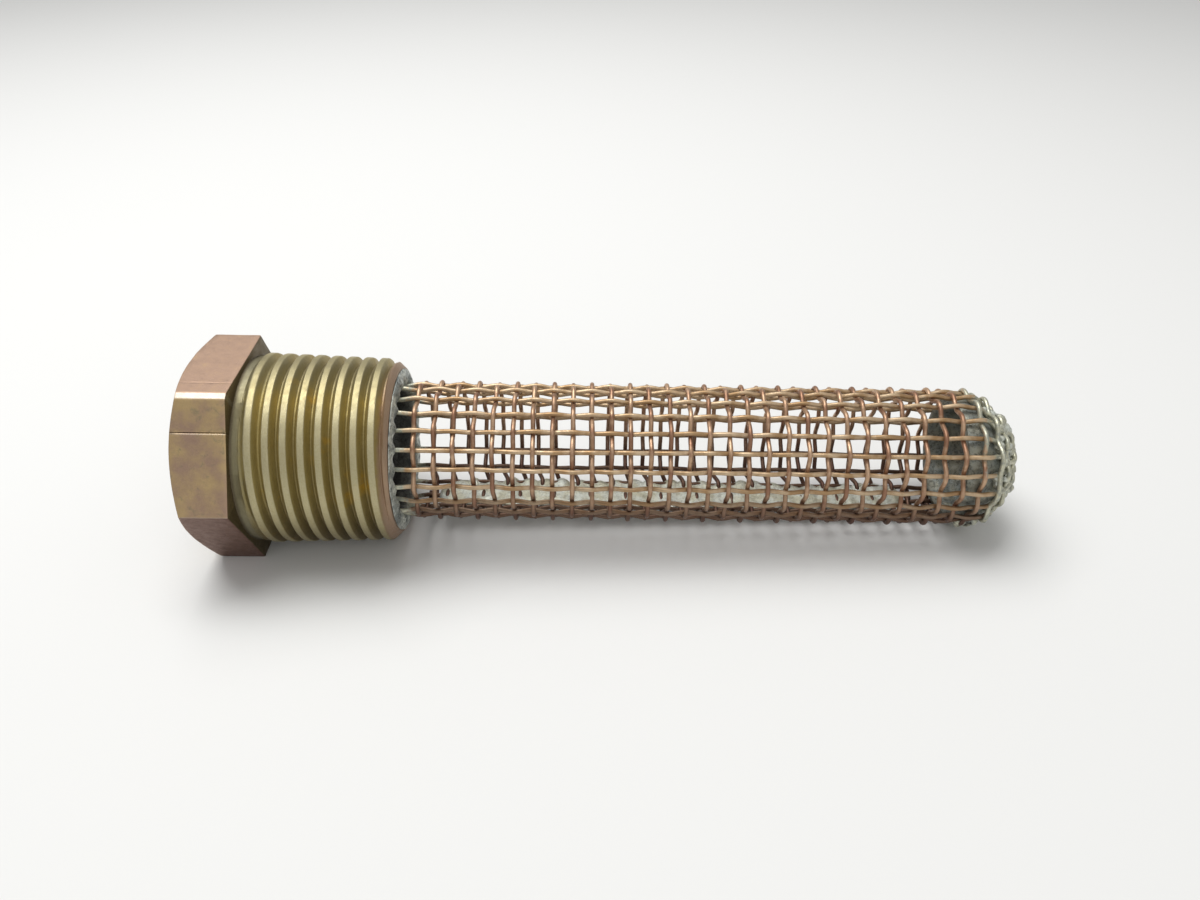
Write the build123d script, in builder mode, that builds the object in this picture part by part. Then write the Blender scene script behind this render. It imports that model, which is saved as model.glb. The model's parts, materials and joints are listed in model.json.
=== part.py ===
from build123d import *

import os
from math import atan, cos, degrees, pi, radians, sin, sqrt, tan

# All lengths are in millimetres and all angles in degrees.
# Distances called "along" run down the strainer's axis from the front face of the hexagon
# towards the tip; the back of the hexagon and its pipe entry lie at negative values.

# Hexagon of the brass bushing
hex_across_flats = 22.225
hex_thickness = 6.2
hex_back_chamfer_angle = 25.0
hex_back_face_radius = 10.45
worn_corner_bevel = 0.43
worn_corner_turn = 30.0

# Barrel with the outer taper pipe thread, its turns drawn as rings with flat sides
barrel_length = 16.2
barrel_end_diameter = 20.8
barrel_taper_angle = 1.79
neck_length = 0.9
neck_depth = 0.4
thread_pitch = 1.8143
thread_depth = 0.85
thread_crest_width = 0.6
first_crest_along = 1.961
thread_run_in_turns = 2
thread_side_count = 36
end_rim_drop = 0.3
end_chamfer_depth = 0.9
end_chamfer_length = 0.3

# Bore: tapped for the fuel line at the hexagon, and a plain socket for the sleeve
tapped_radius = 7.3
entry_chamfer = 0.9
socket_radius = 8.3
socket_depth = 5.0
socket_cone_angle = 45.0

# Woven wire sleeve
wire_diameter = 0.52
cell_pitch = 2.147
sleeve_radius = 7.42
long_wire_count = 22
ring_wire_count = 30
first_ring_gap = 2.31
wire_clearance = 0.015
seam_angle = -96.0

# Lap of the raw ring wire ends at the seam
ring_start_turn = 1.64
lap_turn = 18.0
lap_side_step = 0.66
lap_spring_out = 0.15

# Crown where the long wires close over the tip
crown_height = 5.0
crown_start_gap = 0.4
crown_close_angle = 63.0
crown_bends = 3

# Tinned cup inside the tip, and the solder
cup_wall = 0.7
cup_skirt_length = 2.0
cup_crown_drop = 0.8
cup_gap = 0.06
tip_solder_radius = 2.8
tip_solder_rise = 0.8
tip_solder_flat_radius = 1.5
tip_solder_proud = 0.3
seam_solder_wall = 0.55
seam_solder_angle = 36.0
seam_solder_inset = 1.89
seam_solder_gap = 0.03
collar_outer_radius = 9.1
collar_length = 0.75
collar_depth = 3.0
collar_wall = 1.25
collar_gap = 0.02

# Sizes that follow from the ones above
wire_radius = wire_diameter / 2
cell_angle = 360 / long_wire_count
first_ring_along = barrel_length + first_ring_gap


def crossing_slope(here, beside):
    """Slope of a ring wire that goes from one radius to another over one cell."""
    rise = beside * cos(radians(cell_angle)) - here
    return atan(abs(rise) / (beside * sin(radians(cell_angle))))


def crossing_distance(slope):
    """Distance between a four-sided ring wire and the six-sided long wire it crosses."""
    long_wire_reach = max(wire_radius, wire_radius / 2 + long_wire_flat * tan(slope))
    return long_wire_reach + ring_wire_flat / cos(slope) + wire_clearance


# Both sections stand for round wire; the square one has the round wire's area
long_wire_flat = wire_radius * cos(radians(30))
ring_wire_flat = wire_radius * sqrt(pi) / 2
crimp_out = wire_diameter
crimp_in = wire_diameter
for settle in range(4):
    slope_out = crossing_slope(sleeve_radius + crimp_out, sleeve_radius - crimp_in)
    slope_in = crossing_slope(sleeve_radius - crimp_in, sleeve_radius + crimp_out)
    crimp_out = crossing_distance(slope_out)
    crimp_in = crossing_distance(slope_in)
ring_inner_radius = sleeve_radius - crimp_in - ring_wire_flat / cos(slope_in)
last_ring_along = first_ring_along + (ring_wire_count - 1) * cell_pitch
crown_start = last_ring_along + crown_start_gap
cup_radius = ring_inner_radius - cup_gap
cup_height = crown_height - cup_crown_drop
cup_start = crown_start - cup_skirt_length
tip_along = crown_start + crown_height + tip_solder_proud

# The strainer lies on the front edge of a flat of the hexagon and on the lapped wires
foot_radius = sleeve_radius + crimp_out + lap_spring_out + wire_radius
lie_angle = degrees(atan((hex_across_flats / 2 - foot_radius) / last_ring_along))
axis_step = (cos(radians(lie_angle)), 0, -sin(radians(lie_angle)))
up_step = (sin(radians(lie_angle)), 0, cos(radians(lie_angle)))

# The model's zero is under the middle of its length
back_reach = hex_thickness * axis_step[0] + hex_back_face_radius * up_step[0]
front_x = (back_reach - tip_along * axis_step[0]) / 2
face_centre = (front_x, 0, hex_across_flats / 2 * up_step[2])


def point(along, radius, angle):
    """Place at a distance along the axis, a radius and an angle up from the front side."""
    outwards = -radius * cos(radians(angle))
    upwards = radius * sin(radians(angle))
    return (
        face_centre[0] + along * axis_step[0] + upwards * up_step[0],
        outwards,
        face_centre[2] + along * axis_step[2] + upwards * up_step[2],
    )


def station(along):
    """Plane square to the axis, its x direction up and its normal towards the tip."""
    return Plane(origin=point(along, 0, 0), x_dir=up_step, z_dir=axis_step)


def cell_turn(cell):
    """Angle of a place counted in cells of the cloth round the sleeve from the seam."""
    return seam_angle + (cell - 0.5) * cell_angle


def radial_plane(angle):
    """Plane through the axis, its x along the axis and its y outwards at an angle."""
    outwards = Vector(*point(0, 1, angle)) - Vector(*face_centre)
    return Plane(origin=face_centre, x_dir=axis_step, z_dir=Vector(*axis_step).cross(outwards))


def flat_sided(profile, sides):
    """Solid round the axis with flat sides; a profile lists distances along and corner radii."""
    with BuildPart() as solid:
        for (start, radius), (stop, next_radius) in zip(profile, profile[1:]):
            with BuildSketch(station(start)):
                RegularPolygon(radius, sides)
            step_in = (radius - next_radius) * cos(pi / sides)
            extrude(amount=stop - start, taper=degrees(atan(step_in / (stop - start))))
    return solid.part


centre_line = Axis(origin=face_centre, direction=axis_step)
profile_plane = radial_plane(90)


def barrel_radius(along):
    """Crest radius of the taper thread at a distance along the axis."""
    return barrel_end_diameter / 2 + (barrel_length - along) * tan(radians(barrel_taper_angle))


# Thread from the neck to the end: a crest, a sharp root, and so on, then the chamfered rim
neck_radius = barrel_radius(0) - neck_depth
rim_along = barrel_length - end_chamfer_length
crest_room = rim_along - first_crest_along - thread_pitch / 2
thread_profile = [(neck_length, neck_radius)]
for turn in range(int(crest_room / thread_pitch) + 1):
    crest_along = first_crest_along + turn * thread_pitch
    crest_start = crest_along - thread_crest_width / 2
    crest_stop = crest_along + thread_crest_width / 2
    root_along = crest_along + thread_pitch / 2
    root_depth = thread_depth * min(1, (turn + 1) / thread_run_in_turns)
    thread_profile.append((crest_start, barrel_radius(crest_start)))
    thread_profile.append((crest_stop, barrel_radius(crest_stop)))
    thread_profile.append((root_along, barrel_radius(root_along) - root_depth))
thread_profile.append((rim_along, barrel_radius(rim_along) - end_rim_drop))
thread_profile.append((barrel_length, barrel_radius(barrel_length) - end_chamfer_depth))
thread = flat_sided(thread_profile, thread_side_count)

# Bushing: hexagon with its chamfered back, neck, threaded barrel, tapped bore and socket
hex_corner_radius = hex_across_flats / 2 / cos(radians(30))
hex_chamfer_length = (hex_corner_radius - hex_back_face_radius) * tan(
    radians(hex_back_chamfer_angle)
)
socket_start = barrel_length - socket_depth
socket_cone = (socket_radius - tapped_radius) / tan(radians(socket_cone_angle))

with BuildPart() as hex_bushing:
    with BuildSketch(station(-hex_thickness)):
        RegularPolygon(hex_across_flats / 2, 6, major_radius=False, rotation=30)
    extrude(amount=hex_thickness)
    worn_corner = point(-hex_thickness / 2, hex_corner_radius, 90 - worn_corner_turn)
    corner_edges = hex_bushing.edges().filter_by(centre_line)
    chamfer(corner_edges.sort_by_distance(worn_corner)[0], length=worn_corner_bevel)
    with BuildSketch(profile_plane):
        with BuildLine():
            Polyline(
                (-hex_thickness, 0),
                (-hex_thickness, hex_back_face_radius),
                (-hex_thickness + hex_chamfer_length, hex_corner_radius),
                (0, hex_corner_radius),
                (0, 0),
                close=True,
            )
        make_face()
    revolve(axis=centre_line, mode=Mode.INTERSECT)
    with BuildSketch(station(0)):
        Circle(neck_radius)
    extrude(amount=neck_length)
    add(thread)
    with BuildSketch(profile_plane):
        with BuildLine():
            Polyline(
                (-hex_thickness, 0),
                (-hex_thickness, tapped_radius + entry_chamfer),
                (-hex_thickness + entry_chamfer, tapped_radius),
                (socket_start - socket_cone, tapped_radius),
                (socket_start, socket_radius),
                (barrel_length, socket_radius),
                (barrel_length, 0),
                close=True,
            )
        make_face()
    revolve(axis=centre_line, mode=Mode.SUBTRACT)
hex_bushing.part.label = "hex_bushing"

# Long wires: straight down the sleeve, then bent over the crown towards the tip
long_wire_start = socket_start + wire_diameter
long_wires = []
for index in range(long_wire_count):
    turn = cell_turn(index + 0.5)
    with BuildPart() as long_wire:
        with BuildLine() as path:
            bends = [point(long_wire_start, sleeve_radius, turn)]
            for bend in range(crown_bends + 1):
                rise = radians(crown_close_angle * bend / crown_bends)
                bends.append(
                    point(
                        crown_start + crown_height * sin(rise),
                        sleeve_radius * cos(rise),
                        turn,
                    )
                )
            Polyline(*bends)
        sideways = Vector(*point(0, 1, turn + 90)) - Vector(*face_centre)
        with BuildSketch(Plane(origin=path.line @ 0, x_dir=sideways, z_dir=path.line % 0)):
            RegularPolygon(wire_radius, 6, rotation=30)
        sweep(transition=Transition.RIGHT)
    long_wire.part.label = f"long_wire_{index + 1:02d}"
    long_wires.append(long_wire.part)

# Ring wires: over one long wire and under the next, with the raw end lapped outside
ring_wires = []
for index in range(ring_wire_count):
    along = first_ring_along + index * cell_pitch
    with BuildPart() as ring_wire:
        with BuildLine() as path:
            crossings = [point(along, sleeve_radius, cell_turn(0) + ring_start_turn)]
            for wire in range(long_wire_count):
                over = (index + wire) % 2 == 0
                shift = crimp_out if over else -crimp_in
                step = lap_side_step if wire == long_wire_count - 1 else 0
                crossings.append(
                    point(along + step, sleeve_radius + shift, cell_turn(wire + 0.5))
                )
            for turn in (cell_turn(0.5), cell_turn(0) + lap_turn):
                lifted = sleeve_radius + crimp_out + lap_spring_out
                crossings.append(point(along + lap_side_step, lifted, turn))
            Polyline(*crossings)
        with BuildSketch(Plane(origin=path.line @ 0, x_dir=axis_step, z_dir=path.line % 0)):
            RegularPolygon(ring_wire_flat, 4, major_radius=False, rotation=45)
        sweep(transition=Transition.RIGHT)
    ring_wire.part.label = f"ring_wire_{index + 1:02d}"
    ring_wires.append(ring_wire.part)

# Cup: a tinned thimble inside the tip, open towards the bushing, with one flat to each cell
def cup_profile(radius, height):
    """Straight skirt, then the dome in steps."""
    profile = [(cup_start, radius)]
    for bend in range(crown_bends + 1):
        rise = radians(crown_close_angle * bend / crown_bends)
        profile.append((crown_start + height * sin(rise), radius * cos(rise)))
    return profile


cup_outside = flat_sided(cup_profile(cup_radius, cup_height), long_wire_count)
cup_inside = flat_sided(cup_profile(cup_radius - cup_wall, cup_height - cup_wall), long_wire_count)
with BuildPart() as end_cup:
    add(cup_outside)
    add(cup_inside, mode=Mode.SUBTRACT)
end_cup.part.label = "end_cup"

# Solder plug on the flat end of the cup, where the long wires end
cup_end = crown_start + cup_height * sin(radians(crown_close_angle))
tip_profile = [
    (cup_end + cup_gap, tip_solder_radius),
    (tip_along - tip_solder_rise, tip_solder_radius),
    (tip_along, tip_solder_flat_radius),
]
with BuildPart() as tip_solder:
    add(flat_sided(tip_profile, long_wire_count))
tip_solder.part.label = "tip_solder"

# Solder strip along the inside of the seam, from near the bushing to the cup
seam_solder_start = first_ring_along + seam_solder_inset
seam_outer_radius = ring_inner_radius - seam_solder_gap
with BuildPart() as seam_solder:
    with BuildSketch(radial_plane(seam_angle - seam_solder_angle / 2)):
        with BuildLine():
            Polyline(
                (seam_solder_start, seam_outer_radius - seam_solder_wall),
                (seam_solder_start, seam_outer_radius),
                (cup_start - cup_gap, seam_outer_radius),
                (cup_start - cup_gap, seam_outer_radius - seam_solder_wall),
                close=True,
            )
        make_face()
    revolve(axis=centre_line, revolution_arc=seam_solder_angle)
seam_solder.part.label = "seam_solder"

# Solder collar that holds the wires in the socket, with a fillet outside the barrel
collar_inner_radius = socket_radius - collar_gap - collar_wall
collar_plug = [
    (barrel_length - collar_depth, socket_radius - collar_gap),
    (barrel_length + collar_gap, socket_radius - collar_gap),
]
collar_fillet = [
    (barrel_length + collar_gap, collar_outer_radius),
    (barrel_length + collar_length, sleeve_radius + wire_diameter),
]
collar_solids = [flat_sided(profile, long_wire_count) for profile in (collar_plug, collar_fillet)]
with BuildPart() as collar_solder:
    add(collar_solids)
    with BuildSketch(station(barrel_length - collar_depth)):
        RegularPolygon(collar_inner_radius, long_wire_count)
        with PolarLocations(sleeve_radius, long_wire_count, start_angle=90 - cell_turn(0.5)):
            RegularPolygon(wire_radius + collar_gap, 6)
    extrude(amount=collar_depth + collar_length, mode=Mode.SUBTRACT)
collar_solder.part.label = "collar_solder"

pieces = [
    hex_bushing.part,
    collar_solder.part,
    seam_solder.part,
    end_cup.part,
    tip_solder.part,
    *long_wires,
    *ring_wires,
]
os.makedirs("parts", exist_ok=True)
for piece in pieces:
    export_step(piece, f"parts/{piece.label}.step")
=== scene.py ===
"""Dresses the strainer: threaded brass bushing, round woven wires, solder, finishes and light."""

import json
from math import atan2, cos, pi, radians, sin, sqrt
from random import Random

import bmesh
import bpy
import numpy as np
from mathutils import Matrix, Vector, noise


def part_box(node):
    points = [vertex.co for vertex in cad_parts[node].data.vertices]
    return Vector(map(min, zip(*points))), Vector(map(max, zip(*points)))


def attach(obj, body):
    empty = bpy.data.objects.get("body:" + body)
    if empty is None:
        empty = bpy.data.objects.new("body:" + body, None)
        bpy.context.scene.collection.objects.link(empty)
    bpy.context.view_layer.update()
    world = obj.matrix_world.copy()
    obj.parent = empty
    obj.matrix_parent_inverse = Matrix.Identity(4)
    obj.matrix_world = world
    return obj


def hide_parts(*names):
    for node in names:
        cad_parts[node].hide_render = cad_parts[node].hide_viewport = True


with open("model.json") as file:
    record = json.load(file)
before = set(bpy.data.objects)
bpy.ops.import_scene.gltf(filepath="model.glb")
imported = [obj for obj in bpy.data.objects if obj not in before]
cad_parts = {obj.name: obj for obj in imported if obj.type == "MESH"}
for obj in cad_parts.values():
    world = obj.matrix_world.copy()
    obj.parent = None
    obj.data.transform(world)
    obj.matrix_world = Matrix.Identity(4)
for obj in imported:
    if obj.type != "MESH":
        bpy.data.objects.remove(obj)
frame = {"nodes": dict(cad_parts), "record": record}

bl_info = {
    "name": "Wire Finger Strainer",
    "version": (1, 0, 0),
    "blender": (4, 5, 0),
    "location": "View3D > Sidebar > Strainer",
    "description": "Builds a woven wire strainer soldered into a hexagon pipe bushing",
    "category": "Object",
}

# Shapes are drawn in millimetres along the strainer's own axis, from the front face of the
# hexagon towards the tip, then laid down on the floor by one matrix.
MM = 0.001
THREAD_MOUNT_ALONG = 2.45
LINE_THREAD = next(m for m in frame["record"]["mounts"] if m["name"] == "line_thread")
AXIS = -Vector(LINE_THREAD["axis"])
LIE_ANGLE = atan2(-AXIS.z, AXIS.x)
FACE_CENTRE = Vector(LINE_THREAD["pos_m"]) - AXIS * THREAD_MOUNT_ALONG * MM
LAY_DOWN = Matrix.Translation(FACE_CENTRE) @ Matrix.Rotation(LIE_ANGLE, 4, "Y") @ Matrix.Scale(MM, 4)
HEX_LOW, HEX_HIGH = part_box("hex_bushing")
HEX_ACROSS_FLATS = (HEX_HIGH[1] - HEX_LOW[1]) * cos(radians(30))
RING_NODES = sorted(name for name in frame["nodes"] if name.startswith("ring_wire"))
LONG_NODES = sorted(name for name in frame["nodes"] if name.startswith("long_wire"))


def length(name, description, millimetres):
    """A length property, shown in the scene's units."""
    return bpy.props.FloatProperty(
        name=name, description=description, default=millimetres * MM, unit="LENGTH", precision=5
    )


def angle(name, description, degrees):
    """An angle property."""
    return bpy.props.FloatProperty(
        name=name, description=description, default=radians(degrees), subtype="ANGLE"
    )


def srgb(red, green, blue):
    """Colour as a screen shows it, 0 to 255, turned into the light values of a shader."""
    return tuple(
        (v / 3294.6 if v <= 10 else ((v / 255 + 0.055) / 1.055) ** 2.4) for v in (red, green, blue)
    ) + (1.0,)


def colour(name, description, red, green, blue):
    """A colour property, given as a screen shows it."""
    return bpy.props.FloatVectorProperty(
        name=name,
        description=description,
        default=srgb(red, green, blue)[:3],
        subtype="COLOR",
        min=0.0,
        max=1.0,
    )


class StrainerBushingSizes(bpy.types.PropertyGroup):
    """Sizes of the turned brass bushing."""

    across_flats: length("Across Flats", "Hexagon from flat to flat", HEX_ACROSS_FLATS / MM)
    thickness: length("Hexagon Thickness", "Front face to back face of the hexagon", 6.2)
    back_radius: length("Back Face Radius", "Where the back chamfer starts", 10.45)
    back_chamfer: angle("Back Chamfer", "Slope of the chamfer behind the flats", 25.0)
    corner_radius: length("Corner Radius", "Rounding of the hexagon's corners", 0.12)
    worn_bevel: length("Worn Bevel", "Bevel worn on the upper front corner", 0.43)
    edge_round: length("Edge Rounding", "Rounding of the turned edges", 0.14)
    barrel_length: length("Barrel Length", "Front face of the hexagon to the end", 16.2)
    end_radius: length("End Radius", "Thread crests at the end of the barrel", 10.4)
    neck_length: length("Neck Length", "Plain neck behind the thread", 0.9)
    neck_depth: length("Neck Depth", "Neck below the thread crests", 0.4)
    pitch: length("Thread Pitch", "Fourteen turns to the inch", 1.8143)
    thread_depth: length("Thread Depth", "Crest to root", 0.86)
    first_crest: length("Crest Place", "A crest's centre on the front side", 5.589)
    tapped_radius: length("Tapped Radius", "Crests of the inner thread", 7.3)
    line_pitch: length("Inner Pitch", "Eighteen turns to the inch", 1.411)
    socket_radius: length("Socket Radius", "Plain socket for the sleeve", 8.3)
    socket_depth: length("Socket Depth", "Depth of the socket", 5.0)


class StrainerClothSizes(bpy.types.PropertyGroup):
    """Sizes of the woven wire sleeve."""

    wire: length("Wire Diameter", "Thickness of every wire", 0.52)
    pitch: length("Cell Pitch", "Distance between neighbouring wires", 2.147)
    radius: length("Sleeve Radius", "Axis to the middle of the cloth", 7.42)
    first_ring: length("First Ring", "Place of the ring wire next to the bushing", 18.51)
    ring_crimp: length("Ring Crimp", "Swing of a ring wire at each crossing", 0.38)
    long_crimp: length("Long Crimp", "Swing of a long wire at each crossing", 0.14)
    lap_step: length("Lap Step", "Side step of a ring's raw end past its start", 0.66)
    lap_lift: length("Lap Lift", "Spring of the raw ends away from the sleeve", 0.3)
    wobble: length("Wobble", "How far the wires stray from true", 0.09)
    crown_height: length("Crown Height", "Rise of the closed tip", 5.0)
    crown_gap: length("Crown Gap", "Last ring to the start of the crown", 0.4)
    seam_angle: angle("Seam Angle", "Place of the seam, up from the front side", -96.0)
    close_angle: angle("Close Angle", "How far the long wires bend over the tip", 63.0)
    crown_sag: length("Crown Sag", "Dent of the crown's upper side", 1.0)
    cup_skirt: length("Cup Skirt", "Straight part of the cup", 2.0)


class StrainerFinish(bpy.types.PropertyGroup):
    """Colours of the strainer."""

    brass_tan: colour("Tan Brass", "Rubbed brass of the front flat", 192, 166, 122)
    brass_pink: colour("Pink Brass", "Brass of the upper flat", 170, 142, 122)
    # This brown is painted shade on the lower flats and in the bore, and a plain mottled tone on the turned back
    # face.
    brass_shade: colour("Shaded Brass", "Purplish brown of the lower flats", 116, 88, 76)
    brass_olive: colour("Olive Brass", "Aged brass in the thread", 162, 146, 92)
    brass_yellow: colour("Yellow Brass", "Fresh brass in patches of the thread", 196, 162, 66)
    # The crest colour is rubbed wear with a painted highlight on it.
    brass_crest: colour("Crest Brass", "Rubbed crests of the thread", 186, 177, 142)
    # The edge colour is the worn bevel and scratches, and also painted highlights on two edge lines of the
    # hexagon.
    brass_edge: colour("Edge Brass", "Worn bevel and scratches", 220, 208, 192)
    # Painted shade on the hexagon's face beside the thread.
    brass_face: colour("Face Brass", "Dark face beside the thread", 88, 78, 46)
    # Grey smudges on the flats and thread, and also a painted reflection and shade on the neck and painted shade
    # along the top of the barrel.
    brass_neck: colour("Neck Brass", "Greyish film next to the hexagon", 128, 124, 104)
    brass_end: colour("End Brass", "Reddish end of the barrel", 164, 138, 118)
    # Stains in patches, and also painted shade in the score lines, the thread roots and underside, the corner
    # beside the hexagon and the bore.
    stain: colour("Stain", "Dark stain in corners and roots", 66, 52, 38)
    wire_cream: colour("Cream Wire", "Pale side of the long wires", 200, 176, 144)
    wire_tan: colour("Tan Wire", "Darker patches of the long wires", 168, 136, 98)
    wire_rose: colour("Rose Wire", "Pale side of the ring wires", 194, 162, 132)
    wire_brown: colour("Brown Wire", "Darker patches of the ring wires", 150, 112, 88)
    # Dark specks on the wires, and painted shade low on the sleeve.
    wire_dark: colour("Dark Wire", "Purplish brown low on the sleeve", 78, 54, 48)
    tin: colour("Tin", "Tinned wires", 196, 194, 172)
    cup_grey: colour("Cup Grey", "Tinned inside of the cup", 150, 150, 136)
    solder: colour("Solder", "Pale dull solder", 214, 218, 208)
    solder_grey: colour("Grey Solder", "Darker patches of the solder", 138, 144, 140)
    # Grime in patches on wires and solder, and also painted shade on the collar's inner side and in the crown's
    # pits.
    grime: colour("Grime", "Dark grime in recesses", 42, 40, 38)


class StrainerStage(bpy.types.PropertyGroup):
    """Floor, light and camera."""

    floor: colour("Floor", "Pale floor", 226, 226, 224)
    sky: bpy.props.FloatProperty(name="Sky", description="Strength of the room light", default=0.42)
    key: bpy.props.FloatProperty(
        name="Key", description="Soft light from above", default=1.9, subtype="POWER", unit="POWER"
    )
    fill: bpy.props.FloatProperty(
        name="Fill", description="Soft light from the front", default=0.3, unit="POWER"
    )
    camera_place: bpy.props.FloatVectorProperty(
        name="Camera", description="Place of the camera", default=(-0.0011065, -0.08685, 0.07227)
    )
    camera_tilt: angle("Camera Tilt", "How far the camera looks down", 35.613)
    camera_roll: angle("Camera Roll", "Turn of the camera about its view", -0.767)
    lens: bpy.props.FloatProperty(name="Lens", description="Focal length on a 36 mm film", default=27.62)


SETTINGS = {
    "strainer_bushing": StrainerBushingSizes,
    "strainer_cloth": StrainerClothSizes,
    "strainer_finish": StrainerFinish,
    "strainer_stage": StrainerStage,
}


class Sizes:
    """The lengths of a property group in millimetres, and its other values as they are."""

    def __init__(self, group):
        self.group = group

    def __getattr__(self, name):
        value = getattr(self.group, name)
        unit = self.group.bl_rna.properties[name].unit
        return value / MM if unit == "LENGTH" else value


class Value:
    """A node socket that takes part in Python arithmetic by adding Math nodes."""

    def __init__(self, graph, socket):
        self.graph = graph
        self.socket = socket

    def __add__(self, other):
        return self.graph.math("ADD", self, other)

    def __radd__(self, other):
        return self.graph.math("ADD", other, self)

    def __sub__(self, other):
        return self.graph.math("SUBTRACT", self, other)

    def __rsub__(self, other):
        return self.graph.math("SUBTRACT", other, self)

    def __mul__(self, other):
        return self.graph.math("MULTIPLY", self, other)

    def __rmul__(self, other):
        return self.graph.math("MULTIPLY", other, self)

    def __truediv__(self, other):
        return self.graph.math("DIVIDE", self, other)

    def __pow__(self, other):
        return self.graph.math("POWER", self, other)


class Graph:
    """Builds a node tree, one node at a time."""

    def __init__(self, tree):
        self.tree = tree
        tree.nodes.clear()

    def node(self, kind, settings=None, inputs=None, output=0):
        """Adds a node, sets it, joins its inputs and hands back one output."""
        made = self.tree.nodes.new(kind)
        for name, setting in (settings or {}).items():
            if name == "stops":
                self.set_stops(made.color_ramp, setting)
            else:
                setattr(made, name, setting)
        for key, value in (inputs or {}).items():
            if isinstance(value, Value):
                self.tree.links.new(value.socket, made.inputs[key])
            else:
                made.inputs[key].default_value = value
        return Value(self, made.outputs[output]) if made.outputs else made

    def set_stops(self, ramp, stops):
        """Gives a colour ramp its stops."""
        while len(ramp.elements) < len(stops):
            ramp.elements.new(0.5)
        for element, (place, shade) in zip(ramp.elements, stops):
            element.position = place
            element.color = shade

    def math(self, operation, *values):
        """One Math node."""
        return self.node("ShaderNodeMath", {"operation": operation}, dict(enumerate(values)))

    def fade(self, value, start, stop, low=0.0, high=1.0):
        """Smooth step of a value between two limits."""
        return self.node(
            "ShaderNodeMapRange",
            {"interpolation_type": "SMOOTHSTEP"},
            {0: value, 1: start, 2: stop, 3: low, 4: high},
        )

    def noise(self, place, scale, detail=3.0, rough=0.5, seed=0.0, warp=0.0):
        """Fractal noise from 0 to 1 about a place."""
        return self.node(
            "ShaderNodeTexNoise",
            {"noise_dimensions": "4D"},
            {
                "Vector": place,
                "W": seed,
                "Scale": scale,
                "Detail": detail,
                "Roughness": rough,
                "Distortion": warp,
            },
        )

    def mix(self, factor, first, second):
        """Mixes two colours."""
        return self.node(
            "ShaderNodeMix", {"data_type": "RGBA"}, {0: factor, 6: first, 7: second}, output=2
        )


def rgba(value):
    """A colour property as four numbers."""
    return tuple(value) + (1.0,)


def finish_of(scene):
    """The colours of the strainer as four-number tuples, by name."""
    group = scene.strainer_finish
    names = StrainerFinish.__annotations__
    return {name: rgba(getattr(group, name)) for name in names}


def strainer_space(graph):
    """Millimetres in the strainer's own frame: the place, its distance along and its radius."""
    place = graph.node("ShaderNodeTexCoord", output="Object")
    own = graph.node(
        "ShaderNodeMapping",
        {"vector_type": "TEXTURE"},
        {
            "Vector": place,
            "Location": tuple(FACE_CENTRE),
            "Rotation": (0.0, LIE_ANGLE, 0.0),
            "Scale": (MM, MM, MM),
        },
    )
    along = graph.node("ShaderNodeSeparateXYZ", inputs={0: own}, output=0)
    side = graph.node("ShaderNodeSeparateXYZ", inputs={0: own}, output=1)
    up = graph.node("ShaderNodeSeparateXYZ", inputs={0: own}, output=2)
    radius = graph.math("SQRT", side * side + up * up)
    return own, along, radius, up


def new_material(name):
    """An empty node material and its graph."""
    material = bpy.data.materials.new(name)
    material.use_nodes = True
    return material, Graph(material.node_tree)


def close_material(graph, base, roughness, metallic, height, depth, level=0.5):
    """Ends a material in one metal surface with a bump of the given depth in millimetres."""
    normal = graph.node(
        "ShaderNodeBump", inputs={"Strength": 1.0, "Distance": depth * MM, "Height": height}
    )
    surface = graph.node(
        "ShaderNodeBsdfPrincipled",
        inputs={
            "Base Color": base,
            "Roughness": roughness,
            "Metallic": metallic,
            "Specular IOR Level": level,
            "Normal": normal,
        },
    )
    graph.node("ShaderNodeOutputMaterial", inputs={"Surface": surface})


def band(graph, value, centre, half, soft):
    """1 within a distance of a centre, with soft sides."""
    off = graph.math("ABSOLUTE", value - centre)
    return graph.fade(off, half + soft, half - soft)


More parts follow.
